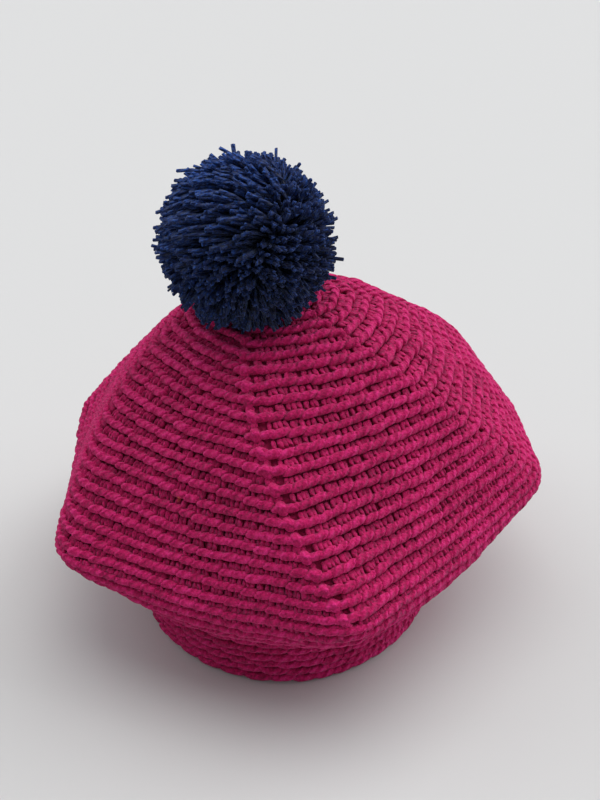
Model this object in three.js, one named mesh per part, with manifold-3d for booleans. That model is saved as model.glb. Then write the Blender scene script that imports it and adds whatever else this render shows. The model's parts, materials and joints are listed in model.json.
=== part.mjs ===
// A crocheted tam with six fold lines, a ribbed headband and a yarn pompom.
// Millimetres, +Z up. The hat stands on its headband's lower edge at z = 0, and the pieces are
// worked out round the headband's middle. At the end the whole hat is moved sideways, so that the
// origin lies under the middle of its outline. The side with the front fold line is towards -Y.

import * as THREE from 'three';
import { mergeVertices } from 'three/addons/utils/BufferGeometryUtils.js';
import Module from 'manifold-3d';

const wasm = await Module();
wasm.setup();

const DEGREE = Math.PI / 180;
const GAP = 0.3; // air between neighbouring pieces

// The cloth: every round of stitches leaves one raised rib
const WALL = 5; // thickness of the crocheted cloth, without the ribs
const RIB = 1.3; // how far a rib stands out, and the groove beside it lies back
const RIB_START = 3; // rounds from the apex over which the ribs grow to full height
const AROUND = 48; // points round each ring, eight to each side of the hexagon

// The crown, from the middle of the top out to the rim and back under to the headband
const TOP_ROUNDS = 23; // rounds on the top
const UNDER_ROUNDS = 7; // rounds on the underside
const LAST_ROUND = TOP_ROUNDS + UNDER_ROUNDS;
const APEX = new THREE.Vector3(-5, 4, 187); // middle of the top
const HOLE_RADIUS = 3; // the ring that the first round is worked into
const HOLE_ROUND = 1; // the round whose points the ring keeps step with
const TWIST = 47 * DEGREE; // how far a fold line turns from the apex to the rim
const TWIST_CURVE = 14 * DEGREE; // its turn is slower near the rim by this measure
const SWELL = 0.34; // how much wider than a straight cone the upper half is
const FALL_BEND = 0.88; // how much a fold line's fall eases off again towards the rim
const SOFT_FOLD = 0.12; // share of a side, each way, over which a fold line is rounded
// Each fold line at the rim, and the side that runs on from it to the next one: droop is how far
// the middle of the side hangs below its two corners at the rim, belly how far it stands out
// between them there, and round how far it stands out near the apex, as a share of its width
const CORNERS = [
  { name: 'front_left', angle: 213, reach: 139.5, height: 75, droop: 5, belly: 1, round: 0.08 },
  { name: 'front', angle: 284, reach: 140, height: 80, droop: 5, belly: 0.5, round: 0.07 },
  { name: 'right', angle: 354, reach: 147, height: 81, droop: 0, belly: 6, round: 0.1 },
  { name: 'back_right', angle: 405, reach: 161, height: 96, droop: 8, belly: 4, round: 0.15 },
  { name: 'back', angle: 459, reach: 153, height: 84, droop: 8, belly: 4, round: 0.15 },
  { name: 'left', angle: 515, reach: 139, height: 84, droop: 8, belly: 0, round: 0.13 },
];

// The rim's roll and the underside
const RIM_OUT = 4; // the roll's pull outwards and down at the end of the top
const RIM_DOWN = 13;
const UNDER_OUT = 24; // the underside's pull outwards and up where it meets the headband
const UNDER_UP = 3;

// The inner face has fewer rings than the outer one where it is nearly flat
const INNER_FIRST = 2; // innermost round that has a ring
const INNER_STEP = 3; // rounds from ring to ring under the top
const INNER_FINE = TOP_ROUNDS - 2; // beyond this round every round has one

// The headband, an oval ring
const BAND_ROUNDS = 9;
const BAND_HEIGHT = 45.5;
const BAND_PITCH = BAND_HEIGHT / BAND_ROUNDS; // height of one round
const BAND_HALF_WIDTH = 86; // outer half sizes across and front to back
const BAND_HALF_DEPTH = 94;
const BAND_RIB = 1;

// The pompom
const POMPOM_CENTRE = new THREE.Vector3(-18.7, -9, 217.5);
const POMPOM_BALL = 38.5; // radius of the dense ball under the locks
const POMPOM_DETAIL = 3; // times that the ball's faces are divided
const LOCK_COUNT = 44;
const LOCK_TIP = 43; // radius that the lock tips reach
const LOCK_UNEVEN = 1.2; // how much the tips' radius varies each way
const LOCK_SWAY = 0.25; // how much the locks' spiral sways each way, in radians
const LOCK_ROOT = 27; // radius at which the locks start, inside the ball
const LOCK_ROOT_RADIUS = 9;
const LOCK_TIP_RADIUS = 5;
const LOCK_SIDES = 4;
const SEAT_ROUNDS = 10; // rounds of the crown that the pompom is seated on
const SEAT_CLEAR = GAP + 1.43; // height of the seat over the crown, ribs included
const SEAT_MIDDLE = GAP + 0.1; // its height over the apex
const SEAT_DEPTH = 60;

// The yarn that ties the pompom on: a neck through the first round's ring, and a knot inside
const TIE_RADIUS = 2.5;
const TIE_TOP = 0.1;
const TIE_SIDES = 8;
const KNOT_DROP = GAP + 0.5; // from the crown's inner face down to the knot
const KNOT_RADIUS = 6.5;
const KNOT_EDGE = 1; // how far the knot's edge is rounded back
const KNOT_HEIGHT = 3;

const UP = new THREE.Vector3(0, 0, 1);
const NORMAL_STEP = 0.04; // step in rounds and sides for the cloth's directions
const SAME_POINT = 1e-4; // points of a mesh nearer than this are one

function yarn(colour) {
  return new THREE.MeshStandardMaterial({ color: colour, roughness: 0.95, metalness: 0 });
}

// A point on a fold line; t runs from 0 at the apex to 1 at the rim
function foldLine(corner, t) {
  const swell = t * (1 + SWELL * (1 - t));
  const turn = TWIST * (t - 1) + TWIST_CURVE * t * (1 - t);
  const angle = corner.angle * DEGREE + turn;
  const fall = t * t * (1 + FALL_BEND * (1 - t));
  return new THREE.Vector3(
    APEX.x * (1 - t) + corner.reach * swell * Math.cos(angle),
    APEX.y * (1 - t) + corner.reach * swell * Math.sin(angle),
    APEX.z - (APEX.z - corner.height) * fall,
  );
}

// The horizontal direction from the crown's axis out to a point
function outwards(point, t) {
  return new THREE.Vector3(point.x - APEX.x * (1 - t), point.y - APEX.y * (1 - t), 0).normalize();
}

// A point of the top: u counts fold lines, 0 to 6 once round, and t runs from apex to rim.
// Straight sides join the fold lines, with the corners rounded, and the sides hang a little.
function topPoint(u, t) {
  const nearest = Math.round(u);
  const past = u - nearest;
  const corner = (index) => CORNERS[((index % 6) + 6) % 6];
  const at = (index) => foldLine(corner(index), t);
  const here = at(nearest);
  const before = here.clone().sub(at(nearest - 1));
  const after = at(nearest + 1).sub(here);
  const point = here.clone();
  if (Math.abs(past) < SOFT_FOLD) {
    const blend = (past + SOFT_FOLD) ** 2 / (4 * SOFT_FOLD);
    point.addScaledVector(before, past).addScaledVector(after.sub(before), blend);
  } else {
    point.addScaledVector(past > 0 ? after : before, past);
  }
  const middle = Math.sin(Math.PI * u) ** 2;
  const side = corner(Math.floor(u));
  const roundness = side.round * before.length() * (1 - t);
  point.addScaledVector(outwards(point, t), middle * (side.belly * t ** 3 + roundness));
  point.z -= middle * side.droop * t ** 3;
  return point;
}

// The point of an oval that lies in a given direction from its middle
function ovalPoint(direction, halfWidth, halfDepth, z) {
  const scale = 1 / Math.hypot(direction.x / halfWidth, direction.y / halfDepth);
  return new THREE.Vector3(direction.x * scale, direction.y * scale, z);
}

// A point of the rim's roll and the underside: v runs from 0 at the rim to 1 at the headband
function underPoint(u, v) {
  const start = topPoint(u, 1);
  const out = outwards(start, 1);
  const end = ovalPoint(out, BAND_HALF_WIDTH, BAND_HALF_DEPTH, BAND_HEIGHT + GAP);
  const roll = start.clone().addScaledVector(out, RIM_OUT).addScaledVector(UP, -RIM_DOWN);
  const meet = end.clone().addScaledVector(out, UNDER_OUT).addScaledVector(UP, UNDER_UP);
  return new THREE.CubicBezierCurve3(start, roll, meet, end).getPoint(v);
}

// The whole crown in one parameter: n counts rounds from the apex to the headband
function crownPoint(u, n) {
  if (n <= TOP_ROUNDS) {
    return topPoint(u, n / TOP_ROUNDS);
  }
  return underPoint(u, (n - TOP_ROUNDS) / UNDER_ROUNDS);
}

// The direction that faces out of the cloth there
function crownNormal(u, n) {
  const step = NORMAL_STEP;
  const across = crownPoint(u + step, n).sub(crownPoint(u - step, n));
  const along = crownPoint(u, Math.min(n + step, LAST_ROUND)).sub(crownPoint(u, n - step));
  return along.cross(across).normalize();
}

// One closed body from rings of AROUND points each, the last ring joined to the first
function ringBody(rings) {
  const vertices = rings.flatMap((ring) => ring.flatMap((p) => [p.x, p.y, p.z]));
  const triangles = [];
  rings.forEach((ring, i) => {
    const next = (i + 1) % rings.length;
    for (let j = 0; j < AROUND; j += 1) {
      const k = (j + 1) % AROUND;
      const a = i * AROUND + j;
      const b = i * AROUND + k;
      const c = next * AROUND + k;
      const d = next * AROUND + j;
      triangles.push(a, c, b, a, d, c);
    }
  });
  const geometry = new THREE.BufferGeometry();
  geometry.setAttribute('position', new THREE.Float32BufferAttribute(vertices, 3));
  geometry.setIndex(triangles);
  return geometry;
}

function ring(pointAt) {
  return Array.from({ length: AROUND }, (_, j) => pointAt((6 * j) / AROUND));
}

// Circle round the apex, whose points keep step with the fold lines
function holeRing(z) {
  const t = HOLE_ROUND / TOP_ROUNDS;
  return ring((u) => {
    const out = outwards(topPoint(u, t), t);
    return new THREE.Vector3(APEX.x, APEX.y, z).addScaledVector(out, HOLE_RADIUS);
  });
}

// The crown: ribs on the outside, a plain inner face, open at the headband
function makeCrown() {
  const outer = [holeRing(APEX.z)];
  for (let half = 1; half < 2 * LAST_ROUND; half += 1) {
    const n = half / 2;
    const lift = half % 2 === 0 ? -RIB : RIB;
    const share = Math.min(1, n / RIB_START, LAST_ROUND - n);
    outer.push(ring((u) => crownPoint(u, n).addScaledVector(crownNormal(u, n), lift * share)));
  }
  outer.push(ring((u) => crownPoint(u, LAST_ROUND)));
  const inner = [];
  for (let n = LAST_ROUND - 1; n >= INNER_FIRST; n -= n > INNER_FINE ? 1 : INNER_STEP) {
    inner.push(ring((u) => crownPoint(u, n).addScaledVector(crownNormal(u, n), -WALL)));
  }
  const lip = ring((u) => {
    const edge = crownPoint(u, LAST_ROUND);
    return edge.addScaledVector(outwards(edge, 1), -WALL);
  });
  return ringBody([...outer, lip, ...inner, holeRing(APEX.z - WALL)]);
}

// The headband: an oval ring of ribs with a flat lower edge
function makeBand() {
  const bandRing = (inset, z) =>
    ring((u) => {
      const out = outwards(topPoint(u, 1), 1);
      const edge = ovalPoint(out, BAND_HALF_WIDTH, BAND_HALF_DEPTH, z);
      return edge.addScaledVector(out, -inset);
    });
  const outer = [];
  for (let half = 2 * BAND_ROUNDS; half >= 0; half -= 1) {
    outer.push(bandRing(half % 2 === 0 ? 0 : -BAND_RIB, (half / 2) * BAND_PITCH));
  }
  return ringBody([...outer, bandRing(WALL, 0), bandRing(WALL, BAND_HEIGHT)]);
}

// A closed mesh as a solid that can be joined and cut
function solid(geometry) {
  const plain = geometry.clone();
  plain.deleteAttribute('normal');
  plain.deleteAttribute('uv');
  const merged = mergeVertices(plain, SAME_POINT);
  return new wasm.Manifold(
    new wasm.Mesh({
      numProp: 3,
      vertProperties: new Float32Array(merged.attributes.position.array),
      triVerts: new Uint32Array(merged.index.array),
    }),
  );
}

function geometryOf(body) {
  const mesh = body.getMesh();
  const geometry = new THREE.BufferGeometry();
  geometry.setAttribute('position', new THREE.BufferAttribute(mesh.vertProperties, 3));
  geometry.setIndex(new THREE.BufferAttribute(mesh.triVerts, 1));
  return geometry;
}

// One lock of yarn: a blunt tapered stub pointing along its direction
function lockGeometry(direction, tip) {
  const length = tip - LOCK_ROOT;
  const lock = new THREE.CylinderGeometry(LOCK_TIP_RADIUS, LOCK_ROOT_RADIUS, length, LOCK_SIDES);
  const turn = new THREE.Quaternion().setFromUnitVectors(new THREE.Vector3(0, 1, 0), direction);
  lock.translate(0, LOCK_ROOT + length / 2, 0);
  lock.applyQuaternion(turn);
  return lock;
}

// What lies under the pompom: the crown's upper rounds, lifted by the gap
function crownUnderPompom() {
  const rings = [];
  for (let n = SEAT_ROUNDS; n >= 1; n -= 1) {
    rings.push(ring((u) => crownPoint(u, n).addScaledVector(UP, SEAT_CLEAR)));
  }
  const middle = new THREE.Vector3(APEX.x, APEX.y, APEX.z + SEAT_MIDDLE);
  rings.push(ring(() => middle.clone()));
  const floor = APEX.z - SEAT_DEPTH;
  rings.push(ring(() => new THREE.Vector3(APEX.x, APEX.y, floor)));
  rings.push(ring((u) => crownPoint(u, SEAT_ROUNDS).setZ(floor)));
  return solid(ringBody(rings.reverse()));
}

// The pompom: locks on a spiral joined to a ball, and seated on the crown
function makePompom() {
  let pompom = solid(new THREE.IcosahedronGeometry(POMPOM_BALL, POMPOM_DETAIL));
  const golden = Math.PI * (3 - Math.sqrt(5));
  for (let i = 0; i < LOCK_COUNT; i += 1) {
    const z = 1 - (2 * (i + 0.5)) / LOCK_COUNT;
    const angle = golden * i + LOCK_SWAY * Math.sin(7 * i);
    const flat = Math.sqrt(1 - z * z);
    const direction = new THREE.Vector3(flat * Math.cos(angle), flat * Math.sin(angle), z);
    const tip = LOCK_TIP + LOCK_UNEVEN * Math.sin(5 * i);
    pompom = pompom.add(solid(lockGeometry(direction, tip)));
  }
  pompom = pompom.translate([POMPOM_CENTRE.x, POMPOM_CENTRE.y, POMPOM_CENTRE.z]);
  return geometryOf(pompom.subtract(crownUnderPompom()));
}

// The tie: a yarn neck through the first round's ring, with its knot inside the crown
function makeTie() {
  const knotTop = -WALL - KNOT_DROP;
  const profile = [
    new THREE.Vector2(0, knotTop - KNOT_HEIGHT),
    new THREE.Vector2(KNOT_RADIUS - KNOT_EDGE, knotTop - KNOT_HEIGHT),
    new THREE.Vector2(KNOT_RADIUS, knotTop - KNOT_HEIGHT / 2),
    new THREE.Vector2(KNOT_RADIUS - KNOT_EDGE, knotTop),
    new THREE.Vector2(TIE_RADIUS, knotTop),
    new THREE.Vector2(TIE_RADIUS, TIE_TOP),
    new THREE.Vector2(0, TIE_TOP),
  ];
  return new THREE.LatheGeometry(profile, TIE_SIDES).rotateX(Math.PI / 2);
}

function named(name, geometry, colour) {
  const mesh = new THREE.Mesh(geometry, yarn(colour));
  mesh.name = name;
  return mesh;
}

const hat = new THREE.Group();
hat.add(named('crown', makeCrown(), 0xa81c66));
hat.add(named('headband', makeBand(), 0xa01a60));
hat.add(named('pompom', makePompom(), 0x12275a));
const tie = named('pompom_tie', makeTie(), 0x12275a);
tie.position.copy(APEX);
hat.add(tie);

const middle = new THREE.Box3().setFromObject(hat).getCenter(new THREE.Vector3());
hat.position.set(-middle.x, -middle.y, 0);

export default hat;
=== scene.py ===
import json
import math

import bpy
import numpy as np
from mathutils import Matrix

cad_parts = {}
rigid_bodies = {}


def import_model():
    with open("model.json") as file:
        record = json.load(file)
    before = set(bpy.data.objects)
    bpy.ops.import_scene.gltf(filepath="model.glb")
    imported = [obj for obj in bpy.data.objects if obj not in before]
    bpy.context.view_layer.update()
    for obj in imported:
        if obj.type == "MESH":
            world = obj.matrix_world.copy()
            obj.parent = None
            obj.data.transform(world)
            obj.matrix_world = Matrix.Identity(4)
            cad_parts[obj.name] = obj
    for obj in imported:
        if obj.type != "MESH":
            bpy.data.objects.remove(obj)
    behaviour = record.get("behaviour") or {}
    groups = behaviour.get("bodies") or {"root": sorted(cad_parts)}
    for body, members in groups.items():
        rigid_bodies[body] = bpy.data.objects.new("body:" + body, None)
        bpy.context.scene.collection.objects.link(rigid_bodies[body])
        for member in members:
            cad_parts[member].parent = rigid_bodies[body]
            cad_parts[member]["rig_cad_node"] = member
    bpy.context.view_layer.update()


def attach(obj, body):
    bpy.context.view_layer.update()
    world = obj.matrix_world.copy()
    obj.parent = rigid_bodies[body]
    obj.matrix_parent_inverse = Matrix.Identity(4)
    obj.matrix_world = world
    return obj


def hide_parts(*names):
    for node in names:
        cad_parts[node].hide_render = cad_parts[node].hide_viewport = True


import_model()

# The hat is worked out in millimetres round the middle of its headband, as the part is, and MIDDLE
# is where that point stands in the frame.
MM = 0.001
MIDDLE = np.array([-9.0025, -8.2987, 0.0])

# The crown: rounds of stitches from the middle of the top to the rim, and back under it
TOP_ROUNDS = 23
UNDER_ROUNDS = 7
UNDER_FEWER = 9  # stitches that each side of the underside has lost at the headband
LAST_ROUND = TOP_ROUNDS + UNDER_ROUNDS
APEX = np.array([-5.0, 4.0, 187.0])
TWIST = math.radians(47)
TWIST_CURVE = math.radians(14)
SWELL = 0.34
FALL_BEND = 0.88
SOFT_FOLD = 0.12
WALL = 5.0
WALL_COLUMNS = 6 * 28
ROWS_A_ROUND = 4
CENTRE_HOLE = 0.35  # in rounds
YARN = 3.0  # the yarn's thickness, which v counts in a strand's uv

# The six fold lines: angle, reach and height at the rim. Then, for the side that follows each, how
# far its middle hangs below its corners at the rim and stands out there, and its roundness near
# the apex, as a share of its width
CORNER = {
    "angle": np.radians([213.0, 284.0, 354.0, 405.0, 459.0, 515.0]),
    "reach": np.array([139.5, 140.0, 147.0, 161.0, 153.0, 139.0]),
    "height": np.array([75.0, 80.0, 81.0, 96.0, 84.0, 84.0]),
    "droop": np.array([5.0, 5.0, 0.0, 8.0, 8.0, 8.0]),
    "belly": np.array([1.0, 0.5, 6.0, 4.0, 4.0, 0.0]),
    "round": np.array([0.08, 0.07, 0.10, 0.15, 0.15, 0.13]),
}
FRONT_FOLD = 1
HOLES_FROM = 10  # the round from which the front fold line shows holes
FOLD_STRAND = np.array([2.0, 2.8, 2.2, 2.0, 2.0, 2.0])  # radius of each fold line's strands
RIM_OUT = 4.0
RIM_DOWN = 13.0
UNDER_OUT = 24.0
UNDER_UP = 3.0

# How unevenly the yarn lies, as standard deviations. Ridges: along and across the round, height
# and radius. Legs: start, across the round, height, radius and end
UNEVEN_RIDGES = np.array([0.07, 0.03, 0.18, 0.05])[:, None, None]
UNEVEN_LEGS = np.array([0.08, 0.03, 0.3, 0.1, 0.12])[:, None, None, None]
RIDGE_TAPER = 0.45  # how much thinner a ridge strand is at its ends

# The headband
BAND_ROUNDS = 9
BAND_HEIGHT = 45.5
BAND_PITCH = BAND_HEIGHT / BAND_ROUNDS
BAND_HALF_WIDTH = 86.0
BAND_HALF_DEPTH = 94.0
BAND_STITCHES = 54

# The pompom
POMPOM_CENTRE = np.array([-18.7, -9.0, 217.5])
POMPOM_RADIUS = 41.5
POMPOM_ROOT = 15.0  # how far from its middle the strands start
POMPOM_YARN = 1.0  # radius of a cut strand
STRANDS = 6400
STRAND_STEPS = 5
CLUMPS = 800
GATHER = 0.5  # how far a strand leans towards its clump
STRAY_SHARE = 0.02
HOLLOW_WIDTH = 0.015
SAG = 3.5  # how far a strand may bow sideways
CROWN_GAP = 1.0  # a strand whose tip comes closer to the crown is left out

# Strands that stand out past the ball, as the camera sees them: angle in degrees and reach
STRAYS = np.array([
    [-10, 48.5], [120, 45.5], [129, 45.5], [83, 44.5], [97, 43.5], [178, 46.0],
    [245, 46.5], [271, 43.5], [32, 44.5], [20, 45.5], [15, 46.5],
])

# A small orange fleck that is caught in the crown's yarn: its place, how far out it has faded
# away and how far out it is full
FLECK = np.array([-51.0, -80.0, 113.0])
FLECK_EDGE = 2.2
FLECK_CORE = 0.8

# Steps in u and n for slopes of the cloth
STEP_U = 0.01
STEP_N = 0.05

# The camera: where it stands, how far down it looks and how far it leans
EYE = np.array([8.19, -454.58, 404.94])
DOWN = math.radians(32.0)
LEAN = math.radians(0.358)
LENS = 43.58


def unit(v):
    """Each vector of an array at length 1."""
    return v / np.maximum(np.linalg.norm(v, axis=-1, keepdims=True), 1e-9)


def camera_axes():
    """Right, up and back of the camera, from how far it looks down and how far it leans."""
    right = np.array([1.0, 0.0, 0.0])
    up = np.array([0.0, math.sin(DOWN), math.cos(DOWN)])
    back = np.array([0.0, -math.cos(DOWN), math.sin(DOWN)])
    return (right * math.cos(LEAN) + up * math.sin(LEAN),
            up * math.cos(LEAN) - right * math.sin(LEAN), back)


RIGHT, UP, BACK = camera_axes()


def fold_line(index, t):
    """Fold line number index: its reach grows as t * (1 + SWELL * (1 - t)), it turns by TWIST
    on the way to the rim, and it falls from the apex as a cubic in t."""
    k = np.mod(index, 6).astype(int)
    swell = t * (1 + SWELL * (1 - t))
    angle = CORNER["angle"][k] + TWIST * (t - 1) + TWIST_CURVE * t * (1 - t)
    fall = t * t * (1 + FALL_BEND * (1 - t))
    return np.stack([
        APEX[0] * (1 - t) + CORNER["reach"][k] * swell * np.cos(angle),
        APEX[1] * (1 - t) + CORNER["reach"][k] * swell * np.sin(angle),
        APEX[2] - (APEX[2] - CORNER["height"][k]) * fall,
    ], axis=-1)


def outwards(point, t):
    """The horizontal direction from the crown's leaning axis to a point."""
    flat = point - APEX * (1 - t)[..., None]
    flat[..., 2] = 0
    return unit(flat)


def top_point(u, t):
    """The top: straight sides between neighbouring fold lines, each corner rounded as the mean
    of its two straight lines, with a belly and a droop that grow as t cubed, and a roundness that
    fades evenly from the apex to the rim."""
    near = np.round(u)
    past = (u - near)[..., None]
    here = fold_line(near, t)
    before = here - fold_line(near - 1, t)
    after = fold_line(near + 1, t) - here
    straight = np.where(past > 0, after, before) * past
    rounded = before * past + (after - before) * (past + SOFT_FOLD) ** 2 / (4 * SOFT_FOLD)
    point = here + np.where(np.abs(past) < SOFT_FOLD, rounded, straight)
    middle = np.sin(np.pi * u) ** 2
    side = np.mod(np.floor(u), 6).astype(int)
    roundness = CORNER["round"][side] * np.linalg.norm(before, axis=-1) * (1 - t)
    out = outwards(point, t)
    point = point + out * (middle * (CORNER["belly"][side] * t**3 + roundness))[..., None]
    point[..., 2] -= middle * CORNER["droop"][side] * t**3
    return point


def oval_point(direction, z):
    """Where the headband's oval lies in a direction from its middle."""
    scale = 1 / np.hypot(direction[..., 0] / BAND_HALF_WIDTH, direction[..., 1] / BAND_HALF_DEPTH)
    point = direction * scale[..., None]
    point[..., 2] = z
    return point


def under_point(u, v):
    """The rim's roll and the underside: one cubic Bezier from the rim in to the headband."""
    start = top_point(u, np.ones_like(u))
    out = outwards(start, np.ones_like(u))
    end = oval_point(out, BAND_HEIGHT)
    up = np.array([0.0, 0.0, 1.0])
    roll = start + out * RIM_OUT - up * RIM_DOWN
    meet = end + out * UNDER_OUT + up * UNDER_UP
    v = v[..., None]
    return ((1 - v) ** 3 * start + 3 * v * (1 - v) ** 2 * roll
            + 3 * v**2 * (1 - v) * meet + v**3 * end)


def crown_point(u, n):
    """The crown by rounds: n runs from 0 at the apex over the rim to the headband."""
    u, n = np.broadcast_arrays(np.asarray(u, float), np.asarray(n, float))
    top = top_point(u, np.clip(n / TOP_ROUNDS, 0, 1))
    under = under_point(u, np.clip((n - TOP_ROUNDS) / UNDER_ROUNDS, 0, 1))
    return np.where((n <= TOP_ROUNDS)[..., None], top, under)


def band_point(u, n):
    """The headband by rounds, from its top edge down: an oval that keeps step with the crown."""
    u, n = np.broadcast_arrays(np.asarray(u, float), np.asarray(n, float))
    out = outwards(top_point(u, np.ones_like(u)), np.ones_like(u))
    return oval_point(out, BAND_HEIGHT - n * BAND_PITCH)


def lift(cloth, u, n, height):
    """A point of the crown or the headband, moved out of the cloth along its normal."""
    across = cloth(u + STEP_U, n) - cloth(u - STEP_U, n)
    along = cloth(u, n + STEP_N) - cloth(u, n - STEP_N)
    out = unit(np.cross(along, across))
    return cloth(u, n) + out * np.asarray(height, float)[..., None]


def mesh_object(name, points, faces, uv, values=None):
    """A smooth mesh from arrays: points in millimetres round the headband's middle, named values
    for every point, and lists that go together: arrays of faces with one number of corners in
    each array, and arrays with a uv for every corner of them."""
    mesh = bpy.data.meshes.new(name)
    corners = np.concatenate([group.ravel() for group in faces]).astype(np.int32)
    sizes = np.concatenate([np.full(len(group), group.shape[-1]) for group in faces])
    starts = (np.cumsum(sizes) - sizes).astype(np.int32)
    mesh.vertices.add(len(points))
    mesh.vertices.foreach_set("co", ((points + MIDDLE) * MM).astype(np.float32).ravel())
    mesh.loops.add(len(corners))
    mesh.loops.foreach_set("vertex_index", corners)
    mesh.polygons.add(len(sizes))
    mesh.polygons.foreach_set("loop_start", starts)
    mesh.polygons.foreach_set("use_smooth", np.ones(len(sizes), bool))
    mesh.update(calc_edges=True)
    layer = mesh.uv_layers.new(name="UVMap")
    corner_uv = np.concatenate([group.reshape(-1, 2) for group in uv])
    layer.data.foreach_set("uv", corner_uv.astype(np.float32).ravel())
    for key, value in (values or {}).items():
        layer = mesh.attributes.new(key, "FLOAT", "POINT")
        layer.data.foreach_set("value", np.asarray(value, np.float32).ravel())
    obj = bpy.data.objects.new(name, mesh)
    bpy.context.scene.collection.objects.link(obj)
    return obj


def strands(name, paths, radii, sides, tone):
    """Many short yarns as one mesh: paths (count, steps, 3), radii (count, steps) and one tone for
    each. Round every path point stands a ring of points, square to the path, and a flat face
    closes each end. In uv, u goes once round the yarn and v counts its thicknesses along it."""
    count, steps, _ = paths.shape
    tangent = unit(np.gradient(paths, axis=1))
    chord = unit(paths[:, -1] - paths[:, 0])
    helper = np.where(np.abs(chord[:, 2:3]) < 0.8, [[0.0, 0.0, 1.0]], [[1.0, 0.0, 0.0]])
    side_a = unit(np.cross(np.broadcast_to(helper[:, None], tangent.shape), tangent))
    side_b = np.cross(tangent, side_a)
    angle = np.arange(sides) * (2 * math.pi / sides)
    ring = (side_a[:, :, None] * np.cos(angle)[:, None]
            + side_b[:, :, None] * np.sin(angle)[:, None])
    points = paths[:, :, None] + ring * radii[:, :, None, None]
    index = np.arange(count * steps * sides).reshape(count, steps, sides)
    turned = np.roll(index, -1, axis=2)
    faces = np.stack([index[:, :-1], turned[:, :-1], turned[:, 1:], index[:, 1:]], axis=-1)
    piece = np.linalg.norm(np.diff(paths, axis=1), axis=-1)
    length = np.concatenate([np.zeros((count, 1)), np.cumsum(piece, axis=1)], axis=1) / YARN
    u = np.broadcast_to(np.arange(sides) / sides, (count, steps - 1, sides))
    low = np.broadcast_to(length[:, :-1, None], u.shape)
    high = np.broadcast_to(length[:, 1:, None], u.shape)
    uv = np.stack([
        np.stack([u, low], axis=-1), np.stack([u + 1 / sides, low], axis=-1),
        np.stack([u + 1 / sides, high], axis=-1), np.stack([u, high], axis=-1),
    ], axis=-2)
    caps = np.concatenate([index[:, 0, ::-1], index[:, -1]])
    cap_u = np.broadcast_to(np.arange(sides) / sides, caps.shape)
    cap_v = np.broadcast_to(np.concatenate([length[:, :1], length[:, -1:]]), caps.shape)
    along = np.broadcast_to(np.linspace(0, 1, steps)[None, :, None], (count, steps, sides))
    values = {"tone": np.repeat(tone, steps * sides), "along": along}
    return mesh_object(name, points.reshape(-1, 3), [faces.reshape(-1, 4), caps],
                       [uv, np.stack([cap_u, cap_v], axis=-1)], values)


def shell(name, cloth, rounds, outer, inner):
    """One closed wall of cloth: a grid over its outer face by rounds, then back over its inner
    face, joined at both edges. outer and inner give the height out of the cloth at (u, n)."""
    columns = WALL_COLUMNS
    u = np.linspace(0, 6, columns, endpoint=False)
    grid_u, grid_n = np.meshgrid(u, rounds)
    front = lift(cloth, grid_u, grid_n, outer(grid_u, grid_n))
    rear = lift(cloth, grid_u[::-1], grid_n[::-1], inner(grid_u, grid_n)[::-1])
    points = np.concatenate([front, rear])
    rows = len(points)
    index = np.arange(rows * columns).reshape(rows, columns)
    below = np.roll(index, -1, axis=0)
    faces = np.stack([index, below, np.roll(below, -1, axis=1), np.roll(index, -1, axis=1)], -1)
    row, column = np.meshgrid(np.arange(rows), np.arange(columns), indexing="ij")
    n = np.concatenate([rounds, rounds[::-1]])
    n_next = np.roll(n, -1)
    left, right = column * 6 / columns, (column + 1) * 6 / columns
    here, there = n[row], n_next[row]
    uv = np.stack([
        np.stack([left, here], -1), np.stack([left, there], -1),
        np.stack([right, there], -1), np.stack([right, here], -1),
    ], axis=-2)
    return mesh_object(name, points.reshape(-1, 3), [faces.reshape(-1, 4)], [uv])


rng = np.random.default_rng(23)


def crown_stitches():
    """Every stitch of the crown: its middle u, its round's middle n and half its width in u. The
    top has as many stitches on a side as the round's number. The underside loses stitches evenly
    until they are as wide at the headband as on the top."""
    rows = []
    for number in range(1, LAST_ROUND + 1):
        past_rim = max(0, number - TOP_ROUNDS) / UNDER_ROUNDS
        on_side = number if number <= TOP_ROUNDS else round(TOP_ROUNDS - UNDER_FEWER * past_rim)
        half = 0.5 / on_side
        u = (np.arange(6 * on_side) + 0.5) / on_side
        rows.append(np.stack([u, np.full_like(u, number - 0.5), np.full_like(u, half)], axis=-1))
    return np.concatenate(rows)


def slow_wave(u, n):
    """How far the rounds wander off their even places: two slow sines round the hat."""
    turn = 2 * math.pi * u / 6
    return 0.07 * np.sin(7 * turn + 0.9 * n) + 0.05 * np.sin(13 * turn - 1.7 * n + 2)


def loops(name, cloth, u, n, half, *, reach, slant, top, dive, radius, steps, sides):
    """Raised strands along a round: each runs a little past its own stitch (reach) and across the
    round (slant). It stands at the height top in its middle, and goes down by dive and grows
    thinner towards both ends. Every strand sways a little in place, height and radius."""
    s = np.linspace(-1, 1, steps)
    count = len(u)
    aside, across, rise, size = rng.normal(0, 1, (4, count, 1)) * UNEVEN_RIDGES
    path_u = u[:, None] + half[:, None] * (reach * s + aside)
    path_n = (n + slow_wave(u, n))[:, None] + slant * s + across
    height = top + rise - dive * np.abs(s) ** 3
    paths = lift(cloth, path_u, path_n, height)
    radii = radius * (1 + size) * (1 - RIDGE_TAPER * np.abs(s) ** 4)
    return strands(name, paths, radii, sides, rng.random(count))


def lean(cloth, u, n):
    """How much u changes with n on a line that crosses the rounds squarely."""
    across = (cloth(u + STEP_U, n) - cloth(u - STEP_U, n)) / (2 * STEP_U)
    along = (cloth(u, n + STEP_N) - cloth(u, n - STEP_N)) / (2 * STEP_N)
    return -np.sum(across * along, axis=-1) / np.sum(across * across, axis=-1)


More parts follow.
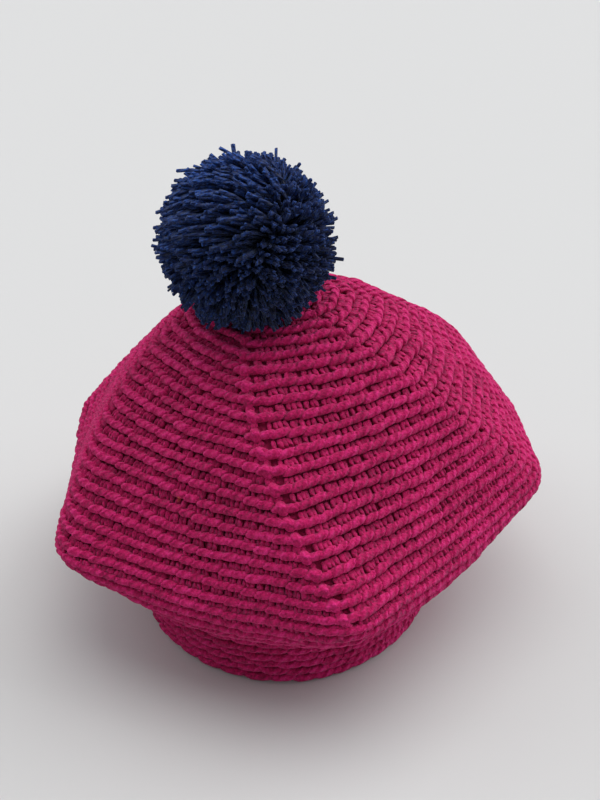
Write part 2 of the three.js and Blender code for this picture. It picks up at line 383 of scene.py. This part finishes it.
def legs(name, cloth, u, n, half, *, start, stop, spread, low, high, radius, sides, kept):
    """Three strands for each stitch, side by side. Each starts with a round end in the groove
    under one raised strand, rises from low to high and runs on level under the next. They are
    closer where they start than where they end (spread). kept says which are made."""
    s = np.array([0.0, 0.12, 0.45, 1.0])
    steps = len(s)
    count = len(u)
    which = np.array([-1.0, 0.0, 1.0])[None, :, None]
    aside, across, rise, size, turned = rng.normal(0, 1, (5, count, 3, 1)) * UNEVEN_LEGS
    square = lean(cloth, u, n)[:, None, None] * (stop - start) * (s - 0.5)
    path_u = u[:, None, None] + square
    apart = which * (spread[1] + (spread[0] - spread[1]) * (1 - s) ** 3)
    path_u = path_u + half[:, None, None] * (apart + aside + turned * s)
    path_n = (n + slow_wave(u, n))[:, None, None] + start + (stop - start) * s + across
    height = high + (low - high) * (1 - s) ** 4 + rise
    shape = (count, 3, steps)
    path_u, path_n, height = (np.broadcast_to(a, shape)[kept] for a in (path_u, path_n, height))
    paths = lift(cloth, path_u, path_n, height)
    rounded = np.array([0.45, 0.95, 1.0, 1.0])
    radii = np.broadcast_to(radius * (1 + size) * rounded, shape)[kept]
    # The legs' tones are lowered by 0.6, so they are painted darker than the ridges: painted shade in
    # the recess under the ridges.
    return strands(name, paths, radii, sides, rng.random(len(paths)) - 0.6)


def crown_strands(name, stitches, steps, ridge_sides):
    """The ridge strands of some stitches of the crown, and the legs between the ridges. Beside a
    fold line one leg is left out, and two low down beside the front one, which leaves the small
    holes that show there."""
    u, n, half = stitches.T
    first = u - np.floor(u) < 1.5 * half
    kept = np.ones((len(u), 3), bool)
    kept[:, 0] = ~first
    kept[:, 1] = ~first | (np.floor(u) != FRONT_FOLD) | (n < HOLES_FROM)
    ridges = loops(
        name + "_ridges", crown_point, u, n, half,
        reach=1.45, slant=-0.09, top=-0.2, dive=0.8, radius=2.35, steps=steps, sides=ridge_sides,
    )
    between = legs(
        name + "_legs", crown_point, u, n, half,
        start=0.30, stop=0.90, spread=(0.48, 0.65), low=-1.5, high=-0.95, radius=1.55,
        sides=5, kept=kept,
    )
    return [ridges, between]


def fold_strands():
    """A fat strand beside every fold line in every round of the top. It points outwards, dives as
    the cube of the way from its middle to its ends, and grows thinner there."""
    u, n = np.meshgrid(np.arange(6.0), np.arange(2, TOP_ROUNDS + 1) - 0.5)
    u, n = u.ravel(), n.ravel()
    s = np.linspace(-1, 1, 8)
    path_n = (n + slow_wave(u, n))[:, None] + 0.34 * s + 0.02
    path_u = u[:, None] + (0.10 * s - 0.30) / n[:, None]
    height = np.broadcast_to(-0.3 - 1.8 * np.abs(s) ** 3, path_n.shape)
    paths = lift(crown_point, path_u, path_n, height)
    radii = FOLD_STRAND[u.astype(int)][:, None] * (1 - 0.6 * np.abs(s) ** 3)
    return strands("crown_folds", paths, radii, 8, rng.random(len(u)))


def crown_wall():
    """The cloth behind the crown's strands. Its outer face sinks a little under each groove, and
    its inner face has the backs of the rounds."""
    rows = np.arange(1, ROWS_A_ROUND * LAST_ROUND + 1) / ROWS_A_ROUND
    return shell(
        "crown_wall", crown_point, np.concatenate([[CENTRE_HOLE], rows]),
        lambda u, n: -1.9 + 0.3 * np.cos(2 * np.pi * (n - 0.4)),
        lambda u, n: -WALL + 0.6 * np.cos(2 * np.pi * n),
    )


def headband_strands():
    """Long flat strands round the headband, each round's a little further along than the last.
    The rounds lie a little closer than their pitch, so that the lowest stands clear of the
    floor."""
    stitch = 6 / BAND_STITCHES
    row = np.arange(BAND_ROUNDS)
    u, n = np.meshgrid((np.arange(BAND_STITCHES) + 0.5) * stitch, 0.99 * row + 0.44)
    u = u + 0.31 * stitch * row[:, None]
    u, n = u.ravel(), n.ravel()
    return loops(
        "headband_strands", band_point, u, n, np.full_like(u, stitch / 2),
        reach=1.20, slant=-0.12, top=-1.2, dive=0.8, radius=2.2, steps=10, sides=8,
    )


def headband_wall():
    """The cloth behind the headband's strands, plain outside, with the backs of its rounds inside."""
    return shell(
        "headband_wall", band_point, np.arange(0, ROWS_A_ROUND * BAND_ROUNDS + 1) / ROWS_A_ROUND,
        lambda u, n: np.full_like(u, -2.2),
        lambda u, n: -WALL + 0.5 * np.cos(2 * np.pi * n),
    )


stitches = crown_stitches()
on_top = stitches[:, 1] < TOP_ROUNDS
crown_pieces = [
    *crown_strands("crown_top", stitches[on_top], steps=8, ridge_sides=7),
    *crown_strands("crown_under", stitches[~on_top], steps=7, ridge_sides=6),
    fold_strands(),
    crown_wall(),
]
band_pieces = [headband_strands(), headband_wall()]


def crown_height(x, y):
    """The crown's height under a point, from the nearest of a few thousand points of it."""
    u, n = np.meshgrid(np.linspace(0, 6, 120, endpoint=False), np.linspace(0, TOP_ROUNDS, 60))
    known = crown_point(u, n).reshape(-1, 3)
    far = (known[:, 0] - x[..., None]) ** 2 + (known[:, 1] - y[..., None]) ** 2
    return known[:, 2][np.argmin(far, axis=-1)]


def pompom_paths(steps):
    """Strands from near the ball's middle to its skin, spread evenly over it by the golden angle.
    They gather in small clumps, part round a small hollow that faces the camera, and lie over to
    one side above it. A few reach out past the ball."""
    k = np.arange(STRANDS) + 0.5
    polar = np.arccos(1 - 2 * k / STRANDS)
    turn = k * math.pi * (3 - math.sqrt(5))
    way = np.stack([np.sin(polar) * np.cos(turn), np.sin(polar) * np.sin(turn), np.cos(polar)], -1)
    way = unit(way + rng.normal(0, 0.05, way.shape))
    clumps = unit(rng.normal(0, 1, (CLUMPS, 3)))
    nearest = clumps[np.argmax(way @ clumps.T, axis=1)]
    tip_way = unit(way + GATHER * (nearest - way))
    hollow = unit(RIGHT * 0.21 - UP * 0.08 + BACK * 0.97)
    near_hollow = np.exp(-((1 - tip_way @ hollow) / HOLLOW_WIDTH))[:, None]
    tip_way = unit(tip_way + (tip_way - hollow) * near_hollow)
    swept = unit(UP * 0.42 - RIGHT * 0.42 + BACK * 0.80)
    amount = np.clip((tip_way @ swept - 0.45) / 0.4, 0, 1) * rng.uniform(0.5, 1, STRANDS)
    aside = -RIGHT - 0.1 * UP
    aside = unit(aside - tip_way * (tip_way @ aside)[:, None])
    root_way = unit(tip_way - aside * amount[:, None] * 0.8 + rng.normal(0, 0.12, way.shape))
    reach = POMPOM_RADIUS * (1 + rng.normal(-0.01, 0.05, STRANDS))
    stray = rng.random(STRANDS) < STRAY_SHARE
    reach = reach + stray * rng.uniform(1.5, 5, STRANDS)
    angle = np.radians(STRAYS[:, :1])
    picked = np.argmax(tip_way @ (RIGHT * np.cos(angle) + UP * np.sin(angle)).T, axis=0)
    reach[picked] = STRAYS[:, 1]
    s = np.linspace(0, 1, steps)[None, :]
    heading = unit(root_way[:, None] * (1 - s)[..., None] + tip_way[:, None] * s[..., None])
    rise = s ** (1 - 0.6 * amount[:, None])
    out = POMPOM_ROOT + (reach[:, None] - POMPOM_ROOT) * rise
    bend = np.cross(tip_way, rng.normal(0, 1, tip_way.shape)) * SAG
    paths = heading * out[..., None] + bend[:, None] * (s * (1 - s))[..., None]
    return POMPOM_CENTRE + paths


def pompom_strands():
    """The cut strands whose tips stand clear of the crown, each with a blunt tip: one more ring,
    much narrower, just past the last. The upper left ones get a higher tone: painted light on the
    side of the ball that faces up and left."""
    paths = pompom_paths(STRAND_STEPS)
    tips = paths[:, -1]
    clear = tips[:, 2] - crown_height(tips[:, 0], tips[:, 1])
    paths = paths[clear > CROWN_GAP]
    tip_step = unit(paths[:, -1] - paths[:, -2])
    paths = np.concatenate([paths, (paths[:, -1] + tip_step * 0.25)[:, None]], axis=1)
    count = len(paths)
    blunt = np.append(np.ones(STRAND_STEPS - 1), [1.03, 0.3])
    radii = POMPOM_YARN * rng.normal(1, 0.1, (count, 1)) * blunt
    # Painted light: a strand's tone rises with how far its tip faces the upper left, so that side of
    # the ball is painted lighter.
    upper_left = unit(UP * 0.7 - RIGHT * 0.4 + BACK * 0.1)
    painted_light_tone = unit(paths[:, -1] - POMPOM_CENTRE) @ upper_left
    return strands("pompom_strands", paths, radii, 3, 0.8 * rng.random(count) + 0.8 * painted_light_tone)


pompom = pompom_strands()


class Wire:
    """A shader output that does sums. + - * / and the named methods make Math nodes, and node
    makes any other node and gives one of its outputs."""

    def __init__(self, tree, out):
        self.tree, self.out = tree, out

    def node(self, kind, inputs, output=0, **settings):
        made = self.tree.nodes.new(kind)
        for key, value in settings.items():
            setattr(made, key, value)
        for key, value in inputs.items():
            if isinstance(value, Wire):
                self.tree.links.new(value.out, made.inputs[key])
            else:
                made.inputs[key].default_value = value
        return Wire(self.tree, made.outputs[output])

    def beside(self, output):
        """Another output of the same node."""
        return Wire(self.tree, self.out.node.outputs[output])

    def feed(self, shader, socket):
        """Link the value to a socket of a shader."""
        self.tree.links.new(self.out, shader.inputs[socket])

    def noise(self, scale, detail):
        """Noise at this place, about scale lumps to a metre."""
        inputs = {"Vector": self, "Scale": scale, "Detail": detail}
        return self.node("ShaderNodeTexNoise", inputs)

    def bump(self, shader, distance):
        """Raise a shader's surface by distance metres where the value is 1."""
        inputs = {"Height": self, "Distance": distance, "Strength": 0.8}
        self.node("ShaderNodeBump", inputs).feed(shader, "Normal")

    def math(self, operation, *others, **settings):
        values = dict(enumerate((self, *others)))
        return self.node("ShaderNodeMath", values, operation=operation, **settings)

    def __add__(self, other):
        return self.math("ADD", other)

    def __sub__(self, other):
        return self.math("SUBTRACT", other)

    def __mul__(self, other):
        return self.math("MULTIPLY", other)

    def __truediv__(self, other):
        return self.math("DIVIDE", other)

    def __rsub__(self, other):
        return (self * -1.0) + other

    __radd__ = __add__
    __rmul__ = __mul__

    def wave(self):
        """The sine of the value in turns, from 0 to 1."""
        return (self * (2 * math.pi)).math("SINE") * 0.5 + 0.5

    def spread(self, low, high):
        """0 at low and 1 at high, held to that range."""
        return ((self - low) / (high - low)).math("ADD", 0.0, use_clamp=True)

    def blend(self, first, second):
        """The colour first where the value is 0 and second where it is 1."""
        return self.node("ShaderNodeMix", {0: self, 6: first, 7: second}, 2,
                         data_type="RGBA", clamp_factor=True)


SCREEN_TOE = 10  # below this screen value a colour's curve is straight


def material(name, roughness, **constants):
    """A new material, its Principled node and a Wire to start from. constants are set on the
    Principled node's sockets, with _ for a space in the socket's name."""
    made = bpy.data.materials.new(name)
    made.use_nodes = True
    tree = made.node_tree
    shader = tree.nodes["Principled BSDF"]
    shader.inputs["Roughness"].default_value = roughness
    for key, value in constants.items():
        shader.inputs[key.replace("_", " ")].default_value = value
    start = Wire(tree, None)
    return made, shader, start


def colour(red, green, blue):
    """A colour from the values 0 to 255 that a screen shows."""
    channel = [((v / 255 + 0.055) / 1.055) ** 2.4 if v > SCREEN_TOE else v / 255 / 12.92
               for v in (red, green, blue)]
    return (*channel, 1.0)


def yarn_material(name, deep, middle, light, ply, shade, fleck=None, **constants):
    """Yarn: its colour wanders with each strand's tone and over the hat. By shade it is painted
    darker towards a strand's root and lighter at its tip, painted shade deep in the ball. Plies (ply
    is their number) wind round it as bumps, painted darker between them as painted shade in their
    grooves, and a fine fuzz. fleck is where one small speck of another colour is caught in it."""
    made, shader, start = material(name, 0.9, **constants)
    place = start.node("ShaderNodeTexCoord", {}, "Object")
    tone = start.node("ShaderNodeAttribute", {}, "Fac", attribute_name="tone")
    wide = place.noise(35.0, 2.0)
    fine = place.noise(750.0, 3.0)
    speck = fine.spread(0.33, 0.67)
    uv = start.node("ShaderNodeUVMap", {}, uv_map="UVMap")
    around = start.node("ShaderNodeSeparateXYZ", {"Vector": uv}, "X")
    length = around.beside("Y")
    twist = (around * ply + length * 0.55).wave()
    along = start.node("ShaderNodeAttribute", {}, "Fac", attribute_name="along")
    # 0.2 * twist paints the yarn darker between its plies: painted shade in the grooves that the ply
    # bump makes.
    amount = 0.22 * tone + 0.30 * wide + 0.45 * speck + 0.2 * twist - 0.08
    # Painted shade: by shade, each strand is painted darker towards its root and lighter at its tip,
    # deep in the pompom.
    amount = amount + shade * (along - 0.8)
    lower = amount.spread(0.1, 0.5).blend(deep, middle)
    paint = amount.spread(0.5, 0.95).blend(lower, light)
    if fleck is not None:
        in_frame = tuple((fleck + MIDDLE) * MM)
        away = start.node("ShaderNodeVectorMath", {0: place, 1: in_frame}, "Value",
                          operation="DISTANCE")
        mask = away.spread(FLECK_EDGE * MM, FLECK_CORE * MM)
        paint = mask.blend(paint, colour(196, 92, 36))
    paint.feed(shader, "Base Color")
    (1.1 * twist + 1.1 * fine).bump(shader, 1.2 * MM)
    return made


raspberry = yarn_material(
    "raspberry_yarn", colour(126, 8, 54), colour(188, 10, 86), colour(228, 44, 130),
    ply=2.0, shade=0.0, fleck=FLECK,
    Specular_IOR_Level=0.1, Sheen_Weight=0.19, Sheen_Roughness=0.72,
    Sheen_Tint=(1.0, 0.34, 0.70, 1.0),
)
navy = yarn_material(
    "navy_yarn", colour(8, 13, 36), colour(14, 38, 96), colour(38, 88, 180),
    ply=2.0, shade=0.9,
    Sheen_Weight=0.15, Sheen_Roughness=0.4, Sheen_Tint=(0.3, 0.5, 1.0, 1.0),
)
floor_paint, floor_shader, _start = material("floor", 0.9)
floor_shader.inputs["Base Color"].default_value = colour(204, 204, 204)


def inner_material():
    """The cloth behind the strands: rows of stitch backs as bumps, from the rounds in uv. It is
    painted darker than the yarn of the strands, and darker where its bumps are low: painted
    shade in the gaps between the strands.
    """
    made, shader, start = material("raspberry_cloth", 0.95)
    uv = start.node("ShaderNodeUVMap", {}, uv_map="UVMap")
    across = start.node("ShaderNodeSeparateXYZ", {"Vector": uv}, "X")
    rounds = across.beside("Y")
    place = start.node("ShaderNodeTexCoord", {}, "Object")
    fine = place.noise(700.0, 3.0)
    stitch = (across * 18.0 + rounds * 0.5).wave() * (rounds * 2.0).wave()
    # Painted shade: the cloth's colours are darker than the yarn's, and the low parts of the stitch
    # bump get the darker one.
    paint = (0.6 * stitch + 0.6 * fine).blend(colour(120, 4, 52), colour(190, 8, 90))
    paint.feed(shader, "Base Color")
    (stitch + 0.7 * fine).bump(shader, 2.0 * MM)
    return made


cloth = inner_material()
for obj in crown_pieces + band_pieces:
    obj.data.materials.append(cloth if obj.name.endswith("_wall") else raspberry)
    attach(obj, "root")
    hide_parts("crown" if obj in crown_pieces else "headband")
pompom.data.materials.append(navy)
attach(pompom, "root")
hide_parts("pompom")
for obj in bpy.context.scene.objects:
    if obj.get("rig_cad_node") == "pompom_tie":
        obj.data.materials.clear()
        obj.data.materials.append(navy)

# A wide pale floor, soft light from the upper right and the upper left, and an even sky
FLOOR_SIZE = 6.0
bpy.ops.mesh.primitive_plane_add(size=FLOOR_SIZE, location=(0, 0, 0))
floor = bpy.context.object
floor.name = "floor"
floor.data.materials.append(floor_paint)


def sun(name, towards, strength, softness, tint):
    """A light from far away in one direction. Its softness is its width in degrees."""
    data = bpy.data.lights.new(name, "SUN")
    data.energy, data.angle, data.color = strength, math.radians(softness), tint
    obj = bpy.data.objects.new(name, data)
    bpy.context.scene.collection.objects.link(obj)
    away = unit(np.array(towards))
    side = unit(np.cross([0.0, 1.0, 0.0], away))
    turn = np.stack([side, np.cross(away, side), away], axis=1)
    obj.matrix_world = Matrix(turn.tolist()).to_4x4()


WARM = (1.0, 0.99, 0.97)
COOL = (0.97, 0.98, 1.0)
sun("key", (0.22, 0.15, 1.0), strength=1.6, softness=60.0, tint=WARM)
sun("right", (0.9, 0.45, 0.6), strength=1.5, softness=60.0, tint=COOL)
sun("left", (-0.7, 0.40, 0.7), strength=0.95, softness=60.0, tint=COOL)
world = bpy.data.worlds.new("sky")
bpy.context.scene.world = world
world.use_nodes = True
world.node_tree.nodes["Background"].inputs["Color"].default_value = (0.95, 0.97, 1.0, 1.0)
world.node_tree.nodes["Background"].inputs["Strength"].default_value = 0.31

bpy.context.scene.view_settings.view_transform = "Standard"

camera_data = bpy.data.cameras.new("camera")
camera_data.lens = LENS
camera = bpy.data.objects.new("camera", camera_data)
bpy.context.scene.collection.objects.link(camera)
turn = Matrix(np.stack([RIGHT, UP, BACK], axis=1).tolist()).to_4x4()
camera.matrix_world = Matrix.Translation(((EYE + MIDDLE) * MM).tolist()) @ turn
bpy.context.scene.camera = camera
